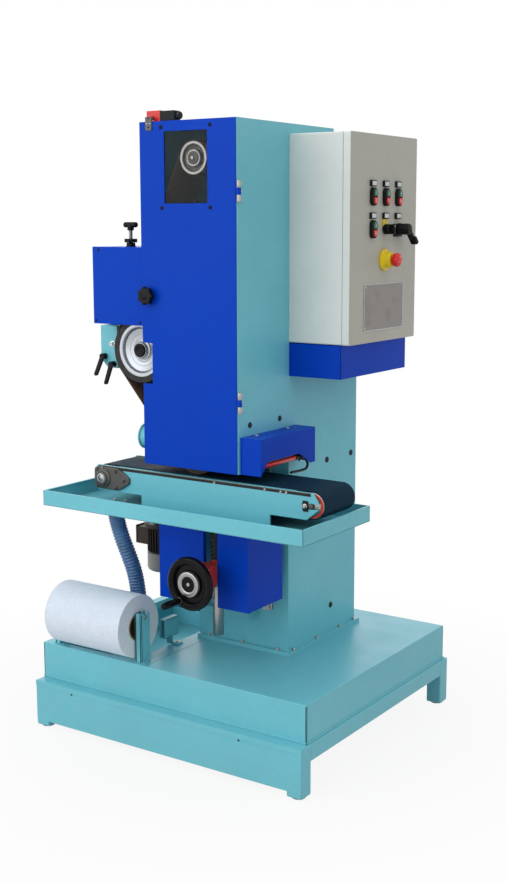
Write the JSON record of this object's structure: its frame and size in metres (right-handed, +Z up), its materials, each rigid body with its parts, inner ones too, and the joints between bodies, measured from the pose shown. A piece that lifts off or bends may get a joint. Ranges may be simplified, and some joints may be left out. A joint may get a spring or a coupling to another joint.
{
  "type": "belt grinding machine",
  "caption": "Belt grinder with a through-feed conveyor on a lifting table, a coolant tank with paper filter and a wall cabinet.",
  "frame": {"origin": "middle of the footprint, on the floor", "axes": "+Z up, +Y from the front door to the back, +X along the conveyor to the cabinet's side"},
  "size_m": [0.998, 0.9376, 1.882],
  "materials": {
    "teal_paint": "satin",
    "blue_paint": "satin",
    "grey_paint": "satin",
    "steel": "satin",
    "red_paint": "satin",
    "black_plastic": "gloss",
    "black_rubber": "matt",
    "hose_rubber": "satin",
    "belt_rubber": "matt",
    "abrasive": "matt",
    "filter_paper": "matt",
    "pane": "clear",
    "yellow_plastic": "satin",
    "green_plastic": "gloss",
    "red_plastic": "gloss"
  },
  "bodies": {
    "machine": {"base_frame": "teal_paint", "coolant_tank": "teal_paint", "column": "teal_paint", "roll_brackets": "teal_paint", "guide_rails": "steel", "jack_bracket": "teal_paint", "jack_housing": "red_paint", "bellows": "black_rubber", "drain_hose": "hose_rubber", "door_hinges": "steel", "hinge_pins": "steel", "interlock_switch": "red_paint", "side_guard": "blue_paint", "wheel_bracket": "teal_paint", "abrasive_belt": "abrasive", "grinding_motor": "grey_paint", "exit_hood": "blue_paint", "cabinet_body": "grey_paint", "cabinet_bracket": "blue_paint"},
    "table": {"tray": "teal_paint", "carriage": "teal_paint", "slide_guards": "blue_paint", "conveyor_frame": "teal_paint", "conveyor_belt": "belt_rubber", "drive_bearings": "steel", "conveyor_gearbox": "grey_paint", "conveyor_motor": "grey_paint", "jack_screw": "steel"},
    "lift_wheel": {"handwheel": "black_plastic"},
    "lift_grip": {"handwheel_grip": "black_plastic"},
    "drive": {"drive_roller": "steel"},
    "tail": {"tail_roller": "steel"},
    "roll": {"paper_roll": "filter_paper"},
    "door": {"front_door": "blue_paint", "window_pane": "pane", "door_key": "steel"},
    "star": {"door_knob": "black_plastic"},
    "tension_wheel": {"side_wheel": "steel", "side_wheel_tyre": "black_rubber"},
    "top_pulley": {"upper_pulley": "steel"},
    "contact": {"contact_roller": "black_rubber"},
    "adjuster": {"adjust_knob": "black_plastic"},
    "locker": {"lock_knob": "black_plastic"},
    "lever_1": {"clamp_lever_1": "black_plastic"},
    "lever_2": {"clamp_lever_2": "black_plastic"},
    "trip": {"trip_bar": "red_paint"},
    "panel": {"cabinet_door": "grey_paint", "button_bezels": "black_plastic", "yellow_collars": "yellow_plastic"},
    "selector": {"selector_knob": "black_plastic"},
    "isolator": {"isolator_handle": "black_plastic"},
    "estop": {"estop_mushroom": "red_plastic"},
    "green_1": {"green_button_1": "green_plastic"},
    "red_1": {"red_button_1": "red_plastic"},
    "green_2": {"green_button_2": "green_plastic"},
    "red_2": {"red_button_2": "red_plastic"},
    "green_3": {"green_button_3": "green_plastic"},
    "red_3": {"red_button_3": "red_plastic"},
    "green_4": {"green_button_4": "green_plastic"},
    "red_4": {"red_button_4": "red_plastic"}
  },
  "joints": [
    {"name": "handwheel_turn", "type": "hinge", "parent": "machine", "child": "lift_wheel", "pos_m": [0.073, -0.37425, 0.539], "axis": [0, 1, 0], "range_deg": [-7200, 0]},
    {"name": "table_slide", "type": "slide", "parent": "machine", "child": "table", "axis": [0, 0, 1], "range_m": [-0.1, 0], "deforming": ["bellows", "drain_hose"]},
    {"name": "grip_spin", "type": "hinge", "parent": "lift_wheel", "child": "lift_grip", "pos_m": [0.03993, -0.42825, 0.48608], "axis": [0, 1, 0], "continuous": true},
    {"name": "drive_spin", "type": "hinge", "parent": "table", "child": "drive", "pos_m": [-0.287, -0.23625, 0.805], "axis": [0, 1, 0], "continuous": true},
    {"name": "tail_spin", "type": "hinge", "parent": "table", "child": "tail", "pos_m": [0.451, -0.23625, 0.805], "axis": [0, 1, 0], "continuous": true},
    {"name": "roll_spin", "type": "hinge", "parent": "machine", "child": "roll", "pos_m": [-0.282, -0.36225, 0.37], "axis": [1, 0, 0], "continuous": true},
    {"name": "door_hinge", "type": "hinge", "parent": "machine", "child": "door", "pos_m": [0.222, -0.33675, 1.3], "axis": [0, 0, 1], "range_deg": [0, 110]},
    {"name": "star_turn", "type": "hinge", "parent": "door", "child": "star", "pos_m": [-0.095, -0.34825, 1.362], "axis": [0, 1, 0], "range_deg": [0, 720]},
    {"name": "wheel_spin", "type": "hinge", "parent": "machine", "child": "tension_wheel", "pos_m": [-0.1576, -0.23325, 1.198], "axis": [0, 1, 0], "continuous": true},
    {"name": "pulley_spin", "type": "hinge", "parent": "machine", "child": "top_pulley", "pos_m": [0.046, -0.23325, 1.749], "axis": [0, 1, 0], "continuous": true},
    {"name": "contact_spin", "type": "hinge", "parent": "machine", "child": "contact", "pos_m": [0.046, -0.23325, 0.925], "axis": [0, 1, 0], "continuous": true},
    {"name": "adjust_turn", "type": "hinge", "parent": "machine", "child": "adjuster", "pos_m": [-0.21, -0.27825, 1.54], "axis": [0, 0, 1], "range_deg": [-720, 720]},
    {"name": "lock_turn", "type": "hinge", "parent": "machine", "child": "locker", "pos_m": [-0.21, -0.27825, 1.518], "axis": [0, 0, 1], "range_deg": [0, 360]},
    {"name": "lever_1_turn", "type": "hinge", "parent": "machine", "child": "lever_1", "pos_m": [-0.3356, -0.26825, 1.167], "axis": [0, -1, 0], "range_deg": [-60, 15]},
    {"name": "lever_2_turn", "type": "hinge", "parent": "machine", "child": "lever_2", "pos_m": [-0.3011, -0.26825, 1.1446], "axis": [0, -1, 0], "range_deg": [-15, 60]},
    {"name": "trip_swing", "type": "hinge", "parent": "machine", "child": "trip", "pos_m": [0.271, -0.10025, 0.892], "axis": [0, 0, -1], "range_deg": [0, 8], "stiffness_Nm_per_rad": 0.3, "springref_deg": -17.19},
    {"name": "panel_hinge", "type": "hinge", "parent": "machine", "child": "panel", "pos_m": [0.39425, 0.33225, 1.52], "axis": [0, 0, 1], "range_deg": [0, 110]},
    {"name": "selector_turn", "type": "hinge", "parent": "panel", "child": "selector", "pos_m": [0.423, 0.12575, 1.551], "axis": [1, 0, 0], "range_deg": [-45, 45]},
    {"name": "isolator_turn", "type": "hinge", "parent": "panel", "child": "isolator", "pos_m": [0.428, 0.20175, 1.551], "axis": [1, 0, 0], "range_deg": [0, 90]},
    {"name": "estop_press", "type": "slide", "parent": "panel", "child": "estop", "axis": [-1, 0, 0], "range_m": [0, 0.004]},
    {"name": "green_press_1", "type": "slide", "parent": "panel", "child": "green_1", "axis": [-1, 0, 0], "range_m": [0, 0.003], "stiffness_N_per_m": 200, "springref_m": -0.004},
    {"name": "red_press_1", "type": "slide", "parent": "panel", "child": "red_1", "axis": [-1, 0, 0], "range_m": [0, 0.003], "stiffness_N_per_m": 200, "springref_m": -0.004},
    {"name": "green_press_2", "type": "slide", "parent": "panel", "child": "green_2", "axis": [-1, 0, 0], "range_m": [0, 0.003], "stiffness_N_per_m": 200, "springref_m": -0.004},
    {"name": "red_press_2", "type": "slide", "parent": "panel", "child": "red_2", "axis": [-1, 0, 0], "range_m": [0, 0.003], "stiffness_N_per_m": 200, "springref_m": -0.004},
    {"name": "green_press_3", "type": "slide", "parent": "panel", "child": "green_3", "axis": [-1, 0, 0], "range_m": [0, 0.003], "stiffness_N_per_m": 200, "springref_m": -0.004},
    {"name": "red_press_3", "type": "slide", "parent": "panel", "child": "red_3", "axis": [-1, 0, 0], "range_m": [0, 0.003], "stiffness_N_per_m": 200, "springref_m": -0.004},
    {"name": "green_press_4", "type": "slide", "parent": "panel", "child": "green_4", "axis": [-1, 0, 0], "range_m": [0, 0.003], "stiffness_N_per_m": 200, "springref_m": -0.004},
    {"name": "red_press_4", "type": "slide", "parent": "panel", "child": "red_4", "axis": [-1, 0, 0], "range_m": [0, 0.003], "stiffness_N_per_m": 200, "springref_m": -0.004}
  ],
  "couplings": [
    {"joint": "handwheel_turn", "follows": "table_slide", "rad_per_m": 1256.6},
    {"joint": "tail_spin", "follows": "drive_spin", "ratio": 1},
    {"joint": "pulley_spin", "follows": "wheel_spin", "ratio": 2.0638},
    {"joint": "contact_spin", "follows": "wheel_spin", "ratio": 1.3108}
  ]
}
